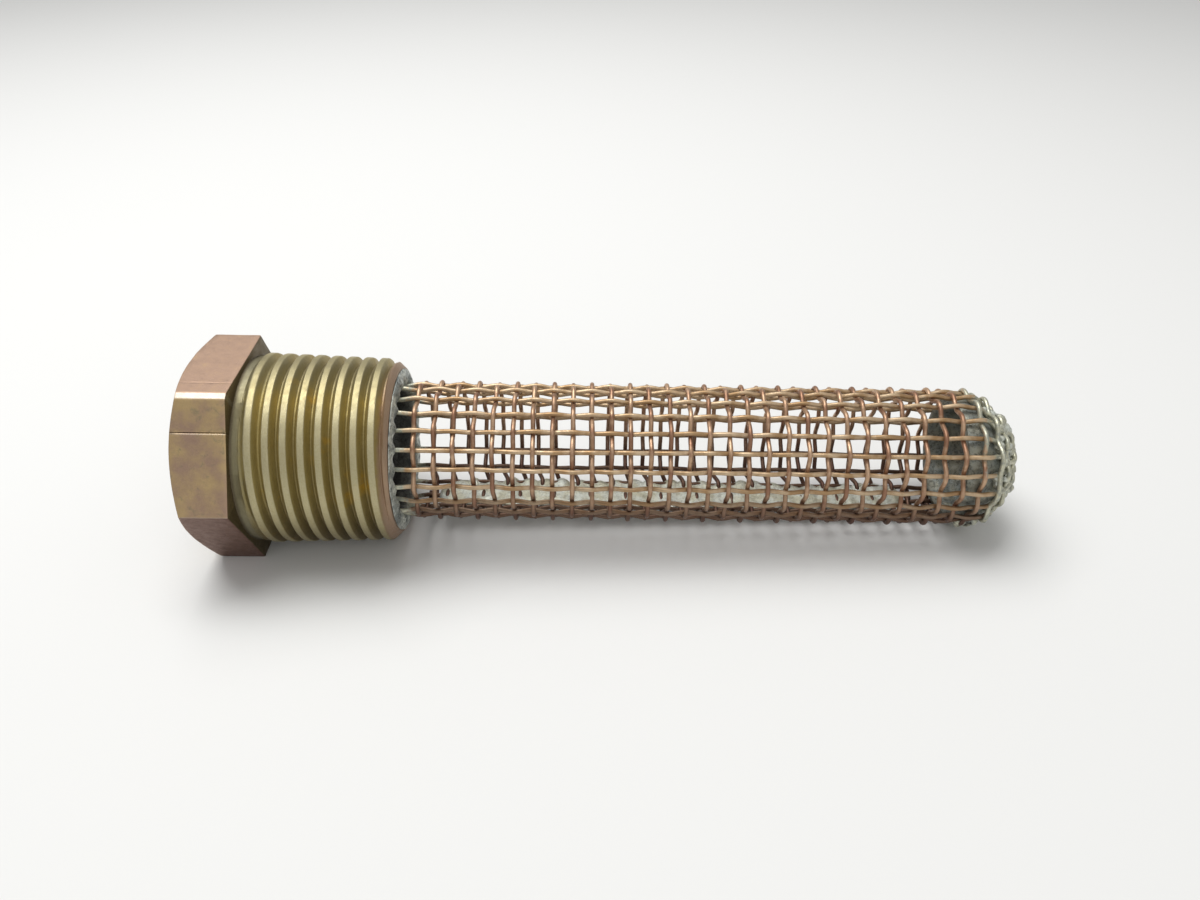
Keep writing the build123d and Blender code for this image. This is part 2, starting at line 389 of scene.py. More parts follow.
def brass_material(scene):
    """Aged brass: tan and pink flats with a score line, olive thread with rubbed crests; painted shade on the
    lower flats, the face beside the thread, the score, the thread's roots, underside, top and neck, and the bore;
    painted highlights on the crests and two edge lines.
    """
    tone = finish_of(scene)
    sizes = Sizes(scene.strainer_bushing)
    material, graph = new_material("aged_brass")
    own, along, radius, up = strainer_space(graph)
    side = graph.node("ShaderNodeSeparateXYZ", inputs={0: own}, output=1)
    turn = graph.math("ARCTAN2", up, side * -1.0) * (180.0 / pi)
    cloud = graph.noise(own, 0.30, 4.0, 0.6, 1.0)
    blotch = graph.noise(own, 1.1, 5.0, 0.65, 2.0, 0.6)
    fine = graph.noise(own, 6.0, 4.0, 0.7, 3.0)
    grain = graph.noise(own, 22.0, 2.0, 0.6, 4.0)

    front = graph.mix(graph.fade(cloud, 0.38, 0.64), tone["brass_tan"], tone["brass_pink"])
    front = graph.mix(graph.fade(blotch, 0.52, 0.72) * 0.55, front, tone["brass_neck"])
    upper = graph.mix(graph.fade(blotch, 0.5, 0.75) * 0.35, tone["brass_pink"], tone["brass_tan"])
    # The lower flats get a painted shade, with stain blotches on it.
    lower = graph.mix(graph.fade(blotch, 0.45, 0.75) * 0.4, tone["brass_shade"], tone["stain"])
    flats = graph.mix(graph.fade(turn, 59.6, 60.4), front, upper)
    flats = graph.mix(graph.fade(turn, 0.4, -0.4), flats, lower)
    flats = graph.mix(graph.fade(turn, 119.0, 121.0) * 0.5, flats, tone["brass_neck"])
    # The bevel at the 60 degree corner is lighter from wear; the thin lines at the 0 degree corner and just below
    # the score are painted highlights.
    edge = band(graph, turn, 60.0, 1.5, 0.35)
    edge = graph.math("MAXIMUM", edge, band(graph, turn, 0.0, 0.2, 0.25) * 0.4)
    edge = graph.math("MAXIMUM", edge, band(graph, turn, SCORE_TURNS[0] - 0.75, 0.2, 0.2) * 0.6)
    flats = graph.mix(edge * graph.fade(fine, 0.3, 0.5, 0.6, 0.95), flats, tone["brass_edge"])
    # The score lines are darkened as painted shade.
    score = band(graph, turn, SCORE_TURNS[0], 0.25, 0.15)
    score = graph.math("MAXIMUM", score, band(graph, turn, SCORE_TURNS[1], 0.1, 0.2) * 0.35)
    flats = graph.mix(score * graph.fade(fine, 0.25, 0.5, 0.6, 0.9), flats, tone["stain"])

    # Painted shade on the hexagon's face beside the thread.
    flats = graph.mix(graph.fade(along, -0.06, -0.01) * 0.85, flats, tone["brass_face"])
    from_back = along + sizes.thickness
    cone = sizes.back_radius + from_back * (cos(sizes.back_chamfer) / sin(sizes.back_chamfer))
    rear = graph.math("MAXIMUM", graph.fade(radius - cone, -0.12, -0.04), graph.fade(from_back, 0.04, 0.01))
    turned = graph.mix(0.35 + graph.fade(blotch, 0.3, 0.8) * 0.3, tone["brass_tan"], tone["brass_shade"])
    flats = graph.mix(rear, flats, turned)

    crest_line = sizes.end_radius + (sizes.barrel_length - along) / 32.0
    below = crest_line - radius
    rise = up / radius
    shade = graph.fade(rise, 0.42, -0.7)
    groove = graph.mix(graph.fade(cloud, 0.58, 0.72) * 0.8, tone["brass_olive"], tone["brass_yellow"])
    # Painted shade: the thread darkens towards its underside.
    groove = graph.mix(shade * 0.7, groove, tone["stain"])
    # Painted shade along the top of the barrel, greyer there.
    groove = graph.mix(graph.fade(rise, 0.9, 1.0) * 0.5, groove, tone["brass_neck"])
    # Painted shade in the thread roots.
    groove = graph.mix(graph.fade(below, 0.72, 0.86) * 0.3, groove, tone["stain"])
    groove = graph.mix(graph.fade(blotch, 0.6, 0.75) * 0.35, groove, tone["brass_neck"])
    # Rubbed crests with a painted highlight, dimmed by painted shade on the underside and at the top.
    crest = graph.fade(below, 0.12, 0.03) * graph.fade(fine, 0.25, 0.55, 0.6, 1.0)
    crest = crest * graph.fade(shade, 0.0, 1.0, 0.95, 0.45) * graph.fade(rise, 0.8, 1.0, 1.0, 0.4)
    thread = graph.mix(crest, groove, tone["brass_crest"])
    # Painted reflection and shade on the neck beside the hexagon.
    neck = graph.fade(along + blotch * 1.2, 2.3, 1.2)
    thread = graph.mix(neck * 0.75, thread, tone["brass_neck"])
    # Painted shade in the corner against the hexagon.
    thread = graph.mix(graph.fade(along, 0.5, 0.05) * 0.7, thread, tone["stain"])
    tail = graph.fade(along + blotch * 0.5, sizes.barrel_length - 0.85, sizes.barrel_length - 0.45)
    thread = graph.mix(tail * 0.85, thread, tone["brass_end"])

    base = graph.mix(graph.fade(along, 0.06, 0.01), thread, flats)
    base = graph.mix(graph.fade(fine, 0.62, 0.74) * 0.45, base, tone["stain"])
    base = graph.mix(graph.fade(grain, 0.66, 0.76) * 0.35, base, tone["brass_edge"])
    # Painted shade inside the bore.
    bore = graph.mix(graph.fade(cloud, 0.3, 0.7), tone["brass_shade"], tone["stain"])
    base = graph.mix(graph.fade(radius, 8.4, 8.1), base, bore)
    roughness = graph.fade(blotch, 0.2, 0.8, 0.40, 0.62)
    metallic = graph.fade(fine, 0.35, 0.75, 0.9, 0.55)
    height = fine * 0.6 + grain * 0.25 + blotch * 0.6
    close_material(graph, base, roughness, metallic, height, 0.03)
    return material


def wire_material(scene, name, main, second, seed, tinned_after):
    """Tarnished wire: two tones in patches, painted shade low down, tinned at both ends."""
    tone = finish_of(scene)
    cloth = Sizes(scene.strainer_cloth)
    material, graph = new_material(name)
    own, along, radius, up = strainer_space(graph)
    patch = graph.noise(own, 0.45, 3.0, 0.6, seed)
    mottle = graph.noise(own, 2.0, 4.0, 0.6, seed + 1.0)
    fine = graph.noise(own, 14.0, 3.0, 0.6, seed + 2.0)
    base = graph.mix(graph.fade(patch, 0.4, 0.62), tone[main], tone[second])
    base = graph.mix(graph.fade(mottle, 0.52, 0.7) * 0.5, base, tone[second])
    base = graph.mix(graph.fade(fine, 0.55, 0.72) * 0.3, base, tone["wire_dark"])
    # Painted shade: the wires darken low on the sleeve.
    low = graph.fade(up + (patch - 0.5) * 3.0, 1.5, -5.5)
    base = graph.mix(low * 0.85, base, tone["wire_dark"])
    begin = crown_start(cloth) + tinned_after
    tinned = graph.fade(along + (mottle - 0.5) * 3.0 + up * 0.2, begin, begin + 1.0)
    collar = graph.fade(along - (mottle - 0.5) * 3.0, 18.0, 17.0)
    coated = graph.math("MAXIMUM", tinned, collar)
    plated = graph.mix(graph.fade(mottle, 0.45, 0.62) * 0.6, tone["tin"], tone["solder_grey"])
    plated = graph.mix(graph.fade(fine, 0.55, 0.7) * 0.6, plated, tone["grime"])
    base = graph.mix(coated, base, plated)
    roughness = graph.fade(mottle, 0.3, 0.7, 0.34, 0.52)
    metallic = graph.fade(fine, 0.4, 0.8, 0.75, 0.45)
    close_material(graph, base, roughness, metallic, fine * 0.5 + mottle * 0.6, 0.02)
    return material


def solder_material(scene, name, main, second, seed, dirt, inner_painted_shade=0.0):
    """Dull solder: two greys, pits and grime in patches, painted shade where the mesh marks a pit, and painted
    shade on the inner side when asked.
    """
    tone = finish_of(scene)
    material, graph = new_material(name)
    own, along, radius, up = strainer_space(graph)
    patch = graph.noise(own, 0.7, 4.0, 0.6, seed)
    mottle = graph.noise(own, 2.4, 5.0, 0.65, seed + 1.0, 0.8)
    fine = graph.noise(own, 11.0, 4.0, 0.7, seed + 2.0)
    base = graph.mix(graph.fade(patch, 0.38, 0.62), tone[main], tone[second])
    base = graph.mix(graph.fade(mottle, 0.46, 0.64) * dirt, base, tone["grime"])
    base = graph.mix(graph.fade(fine, 0.56, 0.7) * 0.55, base, tone["grime"])
    base = graph.mix(graph.fade(fine, 0.42, 0.3) * 0.5, base, tone["solder"])
    # Painted shade on the inner side when asked.
    base = graph.mix(graph.fade(radius, 7.5, 6.9) * inner_painted_shade, base, tone["grime"])
    # Painted shade where the mesh dips, from the pit attribute.
    pit = graph.node("ShaderNodeAttribute", {"attribute_name": "pit"}, output=2)
    base = graph.mix(pit, base, tone["grime"])
    roughness = graph.fade(mottle, 0.3, 0.7, 0.36, 0.6)
    metallic = graph.fade(fine, 0.4, 0.8, 0.6, 0.35)
    close_material(graph, base, roughness, metallic, mottle * 1.0 + fine * 0.4, 0.07)
    return material


def polar(along, radius, turn):
    """Place in the strainer's own frame; the turn is in degrees up from the front side."""
    return (along, -radius * cos(radians(turn)), radius * sin(radians(turn)))


def lumps(place, size, seed):
    """Smooth lumps from -1 to 1 of a given size in millimetres."""
    return noise.noise(Vector(place) / size + Vector((seed, seed * 1.7, -seed)))


def add_piece(name, mesh, material, nodes=()):
    """Lays a finished mesh down in the frame as one piece of the strainer."""
    mesh.transform(LAY_DOWN)
    mesh.materials.clear()
    mesh.materials.append(material)
    mesh.shade_smooth()
    piece = bpy.data.objects.new(name, mesh)
    bpy.context.scene.collection.objects.link(piece)
    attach(piece, "root")
    if nodes:
        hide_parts(*nodes)
    return piece


def turned_mesh(name, turns, rows, sharp=None):
    """Closed mesh of rows round the axis, each (along, radius, row that follows a full turn)."""
    columns = len(turns)
    along = np.array([np.broadcast_to(row[0], columns) for row in rows])
    radius = np.array([np.broadcast_to(row[1], columns) for row in rows])
    arc = np.radians(np.array(turns))
    points = np.stack([along, -radius * np.cos(arc), radius * np.sin(arc)], axis=-1)
    mesh = bpy.data.meshes.new(name)
    faces = []
    for index, row in enumerate(rows):
        below = (index + 1) % len(rows)
        for column in range(columns):
            if column < columns - 1:
                far = (index * columns + column + 1, below * columns + column + 1)
            else:
                far = (rows[index][2] * columns, rows[below][2] * columns)
            faces.append((index * columns + column, far[0], far[1], below * columns + column))
    mesh.from_pydata(points.reshape(-1, 3).tolist(), [], faces)
    tidy_mesh(mesh)
    if sharp is not None:
        mesh.shade_smooth()
        mesh.set_sharp_from_angle(angle=radians(sharp))
    return mesh


def tidy_mesh(mesh):
    """Merges doubled points and turns every face outwards."""
    shape = bmesh.new()
    shape.from_mesh(mesh)
    bmesh.ops.remove_doubles(shape, verts=shape.verts, dist=1e-4)
    bmesh.ops.dissolve_degenerate(shape, edges=shape.edges, dist=1e-5)
    bmesh.ops.recalc_face_normals(shape, faces=shape.faces)
    shape.to_mesh(mesh)
    shape.free()


# Bushing


def hexagon_turns():
    """Angles of the bushing's columns, closer together at the hexagon's corners."""
    corner_offsets = (-2.6, -1.6, -1.0, -0.5, 0.0, 0.5, 1.0, 1.6, 2.6)
    turns = {round(3.0 + 60.0 * side + 2.0 * step, 3) for side in range(6) for step in range(28)}
    turns |= {round((60.0 * side + offset) % 360.0, 3) for side in range(6) for offset in corner_offsets}
    for centre in SCORE_TURNS:
        turns |= {round(centre + offset, 3) for offset in (-0.9, -0.45, 0.0, 0.45, 0.9)}
    return sorted(turns)


SCORE_TURNS = (42.7, 70.0)
SCORE_DEPTHS = (0.13, 0.03)


def hexagon_radius(sizes, turn):
    """Radius of the hexagon at an angle, with rounded corners and one worn bevel."""
    apothem = sizes.across_flats / 2
    off_flat = (turn + 30.0) % 60.0 - 30.0
    off_flat = 30.0 - abs(off_flat)
    radius = apothem / cos(radians(off_flat))
    corner = (apothem - sizes.corner_radius) / cos(radians(30))
    near = radians(30.0 - off_flat)
    chord = sizes.corner_radius**2 - (corner * sin(near)) ** 2
    if chord > 0:
        radius = min(radius, corner * cos(near) + sqrt(chord))
    bevel = apothem / cos(radians(30)) - sizes.worn_bevel / 2
    radius = min(radius, bevel / max(cos(radians(turn - 60.0)), 0.5))
    return radius


def thread_rows(first_row, span, pitch, profile, crest, radius_at):
    """Rows that follow a helix, clipped to a span of the axis."""
    start, stop = span
    crest_along, crest_turn, turns = crest
    count = len(profile)
    first = int((start - crest_along) / pitch) - 2
    last = int((stop - crest_along) / pitch) + 3
    rows = []
    for winding in range(first, last):
        for share, depth in profile:
            along = crest_along + (winding + share) * pitch - pitch * (turns - crest_turn) / 360.0
            along = np.clip(along, start, stop)
            rows.append([along, radius_at(along, depth), first_row + max(len(rows) - count, 0)])
    return rows


def bushing_rows(sizes, turns):
    """Rows of the whole bushing, from the back of the hexagon round to the tapped bore."""
    turns = np.array(turns)
    hexagon = np.array([hexagon_radius(sizes, turn) for turn in turns])
    score = np.zeros(len(turns))
    for centre, depth in zip(SCORE_TURNS, SCORE_DEPTHS):
        score += depth * np.clip(1.0 - np.abs(turns - centre) / 0.7, 0.0, 1.0)
    rows = []

    def add(along, radius):
        rows.append([along, radius, len(rows)])

    back, edge = -sizes.thickness, sizes.edge_round
    slope = sin(sizes.back_chamfer) / cos(sizes.back_chamfer)
    meet = back + (hexagon - sizes.back_radius) * slope
    add(back, sizes.tapped_radius + 1.0)
    add(back, sizes.back_radius - edge)
    add(back + edge * slope / 2, sizes.back_radius + edge / 2)
    add(meet - edge * 0.8 * slope, hexagon - edge * 0.8)
    add(meet - edge * 0.1, hexagon - edge * 0.15)
    add(meet + edge * 0.7, hexagon)
    for share in (0.1, 0.3, 0.5, 0.7, 0.9):
        add(meet + (-edge * 1.2 - meet) * share + edge * 0.5, hexagon - score)
    add(-edge, hexagon - score)
    add(-edge * 0.3, hexagon - edge * 0.3 - score)
    add(0.0, hexagon - edge)
    neck = sizes.end_radius + sizes.barrel_length / 32 - sizes.neck_depth
    add(0.0, (hexagon + neck) / 2)
    add(0.0, neck + 0.2)
    add(0.06, neck + 0.06)
    add(0.2, neck)

    def outer_radius(along, depth):
        crest_line = sizes.end_radius + (sizes.barrel_length - along) / 32
        run_out = np.clip((along + 0.3) / 3.6, 0.0, 1.0)
        run_out = run_out * np.clip((sizes.barrel_length + 0.8 - along) / 1.6, 0.4, 1.0)
        cut = crest_line - depth * sizes.thread_depth * run_out
        shoulder = neck + (along - sizes.neck_length) * 1.1
        nose = sizes.end_radius - 0.9 + (sizes.barrel_length - along) * 0.95
        return np.minimum(np.minimum(cut, shoulder), nose)

    profile = [(-0.165, 0.01), (-0.08, 0.0), (0.08, 0.0), (0.165, 0.01), (0.19, 0.05), (0.215, 0.13)]
    profile += [(0.33, 0.58), (0.43, 0.95), (0.46, 1.0), (0.54, 1.0), (0.57, 0.95), (0.67, 0.58)]
    profile += [(0.785, 0.13), (0.81, 0.05)]
    span = (sizes.neck_length, sizes.barrel_length)
    crest = (sizes.first_crest, 35.6, turns)
    rows += thread_rows(len(rows), span, sizes.pitch, profile, crest, outer_radius)
    end = sizes.barrel_length
    add(end + 0.02, sizes.end_radius - 1.05)
    add(end, sizes.socket_radius + 0.15)
    add(end - 0.12, sizes.socket_radius)
    socket_start = end - sizes.socket_depth
    add(socket_start, sizes.socket_radius)
    add(socket_start - 1.0, sizes.tapped_radius)
    inner_start = back + 0.9
    inner_stop = socket_start - 4.0

    def inner_radius(along, depth):
        cut = sizes.tapped_radius + depth * 0.75 * np.clip((inner_stop - along) / 3.0, 0.0, 1.0)
        mouth = sizes.tapped_radius + 0.95 - (along - inner_start)
        return np.maximum(cut, mouth)

    coarse = [(-0.2, 0.0), (0.0, 0.0), (0.2, 0.0), (0.4, 0.9), (0.5, 1.0), (0.6, 0.9)]
    inner = thread_rows(0, (inner_start, inner_stop), sizes.line_pitch, coarse, (0.0, 0.0, turns), inner_radius)
    offset, count = len(rows), len(inner)
    for index, row in enumerate(reversed(inner)):
        original = count - 1 - index
        follows = max(original - len(coarse), 0)
        rows.append([row[0], row[1], offset + count - 1 - follows])
    return rows


def build_bushing(context):
    """Turned and tapped brass bushing with its true thread."""
    sizes = Sizes(context.scene.strainer_bushing)
    turns = hexagon_turns()
    mesh = turned_mesh("bushing", turns, bushing_rows(sizes, turns), sharp=32.0)
    for vertex in mesh.vertices:
        out = Vector((0.0, vertex.co.y, vertex.co.z)).normalized()
        vertex.co += out * (0.025 * lumps(vertex.co, 1.3, 5.0) + 0.012 * lumps(vertex.co, 0.4, 9.0))
    keep_edges = mesh.attributes.get("sharp_edge")
    piece = add_piece("bushing", mesh, brass_material(context.scene), ["hex_bushing"])
    if keep_edges is not None:
        mesh.set_sharp_from_angle(angle=radians(32.0))
    return piece


# Wires


def wire_tree(name, path, extra):
    """Geometry Nodes tree of one round wire; path gives along, radius and turn from the graph."""
    tree = bpy.data.node_groups.new(name, "GeometryNodeTree")
    sockets = {"Points": "NodeSocketInt", "Wire Radius": "NodeSocketFloat"}
    sockets.update({key: "NodeSocketFloat" for key in extra})
    sockets["Finish"] = "NodeSocketMaterial"
    for key, kind in sockets.items():
        tree.interface.new_socket(key, in_out="INPUT", socket_type=kind)
    tree.interface.new_socket("Geometry", in_out="OUTPUT", socket_type="NodeSocketGeometry")
    graph = Graph(tree)
    entry = tree.nodes.new("NodeGroupInput")
    given = {key: Value(graph, entry.outputs[key]) for key in sockets}
    line = graph.node("GeometryNodeCurvePrimitiveLine")
    line = graph.node("GeometryNodeResampleCurve", inputs={"Curve": line, "Count": given["Points"]})
    share = graph.node("GeometryNodeSplineParameter", output="Factor")
    along, radius, turn = path(graph, given, share)
    place = graph.node(
        "ShaderNodeCombineXYZ",
        inputs={
            0: along,
            1: radius * graph.math("COSINE", turn) * -1.0,
            2: radius * graph.math("SINE", turn),
        },
    )
    bent = graph.node("GeometryNodeSetPosition", inputs={"Geometry": line, "Position": place})
    ring = graph.node(
        "GeometryNodeCurvePrimitiveCircle",
        inputs={"Resolution": 12, "Radius": given["Wire Radius"]},
    )
    tube = graph.node(
        "GeometryNodeCurveToMesh", inputs={"Curve": bent, "Profile Curve": ring, "Fill Caps": True}
    )
    solid = graph.node("GeometryNodeRealizeInstances", inputs={"Geometry": tube})
    solid = graph.node(
        "GeometryNodeSetMaterial", inputs={"Geometry": solid, "Material": given["Finish"]}
    )
    graph.node("NodeGroupOutput", inputs={0: solid})
    return tree


def ring_path(graph, given, share):
    """Over one long wire and under the next, once round, then the raw end beside the start."""
    cells = given["Cells"]
    cell = given["Start Cell"] + share * (cells + given["Lap Cells"] - given["Start Cell"])
    over = graph.math("COSINE", (cell - 0.5 + given["Phase"]) * pi)
    lapped = graph.fade(cell - cells, -0.3, 0.4)
    over = over + (1.0 - over) * lapped
    stray = stray_noise(graph, cell * 0.3, given["Seed"])
    drift = stray_noise(graph, cell * 0.12, given["Seed"] + 40.0)
    step = graph.fade(cell - cells, -1.5, -0.5) * given["Lap Step"]
    along = given["Along"] + step + (stray + drift * 1.5) * given["Wobble"]
    lean = stray_noise(graph, cell * 0.25, given["Seed"] + 80.0) * given["Wobble"]
    turn = given["Seam Angle"] + (cell - 0.5) * (2.0 * pi) / cells
    dent = graph.math("MAXIMUM", graph.math("SINE", turn), 0.0) * given["Sag"]
    radius = given["Sleeve Radius"] + over * given["Crimp"] + lapped * given["Lap Lift"]
    return along, radius + lean * 0.6 - dent, turn


def long_path(graph, given, share):
    """Down the sleeve under and over the rings, then bent over the crown."""
    straight = given["Crown Start"] - given["Start"]
    reach = share * (straight + given["Crown Arc"])
    rise = graph.math("MAXIMUM", reach - straight, 0.0) / given["Crown Arc"] * given["Close Angle"]
    bend_up = graph.math("SINE", rise)
    bend_in = graph.math("COSINE", rise)
    flat = given["Start"] + graph.math("MINIMUM", reach, straight)
    under = graph.math("COSINE", ((flat - given["First Ring"]) / given["Cell"] + given["Phase"]) * pi)
    stray = stray_noise(graph, reach * 0.11, given["Seed"])
    bow = stray_noise(graph, reach * 0.16, given["Seed"] + 50.0)
    twist = stray_noise(graph, rise * 2.2, given["Seed"] + 90.0) * rise * 0.16
    dent = graph.math("SINE", rise / given["Close Angle"] * pi) * given["Sag"]
    lift = bow * given["Wobble"] * 0.7 - under * given["Crimp"] * bend_in - dent
    radius = given["Sleeve Radius"] * bend_in + lift
    along = flat + bend_up * (given["Crown Height"] + lift)
    turn = given["Turn"] + stray * given["Wobble"] / given["Sleeve Radius"] * 1.4 + twist
    return along, radius, turn


def stray_noise(graph, place, seed):
    """Slow wander from -1 to 1 along a wire."""
    spot = graph.node("ShaderNodeCombineXYZ", inputs={0: place, 1: seed, 2: 0.0})
    return graph.noise(spot, 1.0, 2.0, 0.5) * 4.0 - 2.0


RING_INPUTS = ("Along", "Sleeve Radius", "Crimp", "Phase", "Cells", "Start Cell", "Lap Cells")
RING_INPUTS += ("Lap Step", "Lap Lift", "Seam Angle", "Wobble", "Seed", "Sag")
LONG_INPUTS = ("Start", "Crown Start", "Crown Arc", "Crown Height", "Close Angle", "Sleeve Radius")
LONG_INPUTS += ("Crimp", "Phase", "First Ring", "Cell", "Turn", "Wobble", "Seed", "Sag")


def grow_wire(tree, name, values):
    """Runs a wire's tree on an empty mesh and hands back the plain result."""
    host = bpy.data.objects.new(name, bpy.data.meshes.new(name + "_host"))
    bpy.context.scene.collection.objects.link(host)
    grower = host.modifiers.new("Wire", "NODES")
    grower.node_group = tree
    for item in tree.interface.items_tree:
        if item.in_out == "INPUT":
            grower[item.identifier] = values[item.name]
    bpy.context.view_layer.update()
    grown = host.evaluated_get(bpy.context.evaluated_depsgraph_get())
    mesh = bpy.data.meshes.new_from_object(grown)
    host.modifiers.remove(grower)
    bpy.data.objects.remove(host)
    return mesh


def crown_start(cloth):
    """Distance along the axis where the crown begins."""
    return cloth.first_ring + (len(RING_NODES) - 1) * cloth.pitch + cloth.crown_gap


def build_long_wires(context):
    """The wires that run the length of the sleeve and close over the tip."""
    cloth = Sizes(context.scene.strainer_cloth)
    tree = wire_tree("Long Wire", long_path, LONG_INPUTS)
    finish = wire_material(context.scene, "bronze_long_wires", "wire_cream", "wire_tan", 11.0, 1.0)
    chance = Random(7)
    for index, node in enumerate(LONG_NODES):
        turn = cloth.seam_angle + 2.0 * pi * index / len(LONG_NODES)
        mesh = grow_wire(
            tree,
            node,
            {
                "Points": 420,
                "Wire Radius": cloth.wire / 2,
                "Start": 12.1,
                "Crown Start": crown_start(cloth),
                "Crown Arc": 6.9,
                "Crown Height": cloth.crown_height,
                "Close Angle": cloth.close_angle + radians(chance.uniform(-12.0, 6.0)),
                "Sleeve Radius": cloth.radius,
                "Crimp": cloth.long_crimp,
                "Phase": float(index % 2),
                "First Ring": cloth.first_ring,
                "Cell": cloth.pitch,
                "Turn": turn,
                "Wobble": cloth.wobble,
                "Seed": index * 3.7,
                "Sag": cloth.crown_sag * max(0.0, sin(turn)),
                "Finish": finish,
            },
        )
        add_piece(node + "_round", mesh, finish, [node])


def ring_values(cloth, index, finish):
    """Inputs of one ring wire's tree."""
    return {
        "Points": 300,
        "Wire Radius": cloth.wire / 2,
        "Along": cloth.first_ring + index * cloth.pitch,
        "Sleeve Radius": cloth.radius,
        "Crimp": cloth.ring_crimp,
        "Phase": float(index % 2),
        "Cells": float(len(LONG_NODES)),
        "Start Cell": 0.1,
        "Lap Cells": 1.1,
        "Lap Step": cloth.lap_step,
        "Lap Lift": cloth.lap_lift,
        "Seam Angle": cloth.seam_angle,
        "Wobble": cloth.wobble,
        "Seed": 200.0 + index * 5.3,
        "Sag": 0.0,
        "Finish": finish,
    }


def build_ring_wires(context):
    """The wires that run round the sleeve."""
    cloth = Sizes(context.scene.strainer_cloth)
    tree = wire_tree("Ring Wire", ring_path, RING_INPUTS)
    finish = wire_material(context.scene, "bronze_ring_wires", "wire_rose", "wire_brown", 31.0, 0.0)
    for index, node in enumerate(RING_NODES):
        mesh = grow_wire(tree, node, ring_values(cloth, index, finish))
        add_piece(node + "_round", mesh, finish, [node])


# Solder and cup


def build_collar(context):
    """Solder that creeps up every wire out of the socket."""
    cloth = Sizes(context.scene.strainer_cloth)
    cells = len(LONG_NODES)
    turns = [360.0 * step / (cells * 12) for step in range(cells * 12)]
    profile = [(13.3, 7.0), (13.3, 8.2), (16.0, 8.25), (16.16, 8.6), (16.22, 9.1), (16.28, 9.28)]
    profile += [(16.36, 9.1), (16.44, 8.8), (16.5, 8.5), (16.54, 8.2), (16.54, 7.85), (16.45, 7.5)]
    profile += [(16.2, 7.15), (15.7, 6.95), (14.8, 6.9)]
    rows = []
    for index, (along, radius) in enumerate(profile):
        exposed = min(1.0, max(0.0, (along - 16.15) / 0.5))
        lick = exposed * (radius < 8.3)
        creep, swell = [], []
        for turn in turns:
            from_wire = (radians(turn) - cloth.seam_angle) * cells / (2.0 * pi)
            near = cos(2.0 * pi * from_wire)
            bump = lumps(polar(along, radius, turn), 1.1, 3.0)
            coarse = lumps(polar(along, radius, turn), 3.2, 8.0)
            creep.append(along + lick * 0.18 * near + exposed * (0.22 * bump + 0.2 * coarse))
            swell.append(radius + exposed * (0.16 * bump + 0.1 * coarse))
        rows.append([np.array(creep), np.array(swell), index])
    mesh = turned_mesh("collar", turns, rows)
    # The collar's inner side gets painted shade.
    finish = solder_material(context.scene, "collar_solder", "solder", "solder_grey", 51.0, 0.6, 0.8)
    add_piece("collar", mesh, finish, ["collar_solder"])


def build_seam(context):
    """Strip of solder that fills the cells over the seam, with a ragged edge."""
    cloth = Sizes(context.scene.strainer_cloth)
    seam = cloth.seam_angle * 180.0 / pi
    start, stop, around = 19.6, 76.0, 18
    stations = int((stop - start) / 0.16)
    points, faces = [], []
    for station in range(stations + 1):
        along = start + (stop - start) * station / stations
        end_fade = min(1.0, station / 6, (stations - station) / 6) ** 0.5
        cell = (along - cloth.first_ring) / cloth.pitch
        scallop = abs(sin(pi * cell))
        far = 17.0 + 3.5 * scallop + 5.0 * lumps((along, 0.0, 0.0), 2.4, 2.0)
        close = 13.0 + 2.0 * scallop + 4.0 * lumps((along, 5.0, 0.0), 2.0, 6.0)
        for step in range(around):
            arc = 2.0 * pi * step / around
            across = cos(arc)
            turn = seam + (close if across > 0 else far) * across * max(end_fade, 0.05)
            bulge = sin(arc) * (0.42 + 0.1 * lumps((along, turn, 0.0), 1.5, 4.0)) * max(end_fade, 0.05)
            ripple = 0.12 * lumps((along, turn * 0.13, 3.0), 1.0, 7.0)
            points.append(polar(along, cloth.radius - 0.1 + bulge + ripple, turn))
        if station:
            base, before = station * around, (station - 1) * around
            for step in range(around):
                after = (step + 1) % around
                faces.append((before + step, before + after, base + after, base + step))
    faces.append(tuple(range(around)))
    faces.append(tuple(stations * around + step for step in range(around)))
    mesh = bpy.data.meshes.new("seam")
    mesh.from_pydata(points, [], faces)
    tidy_mesh(mesh)
    finish = solder_material(context.scene, "seam_solder", "solder", "tin", 61.0, 0.25)
    add_piece("seam", mesh, finish, ["seam_solder"])


def crown_dent(cloth, along, turn):
    """Depth of the dent in the crown's upper side."""
    share = min(1.0, max(0.0, (along - crown_start(cloth)) / (cloth.crown_height * sin(cloth.close_angle))))
    return cloth.crown_sag * max(0.0, sin(radians(turn))) * sin(pi * share)


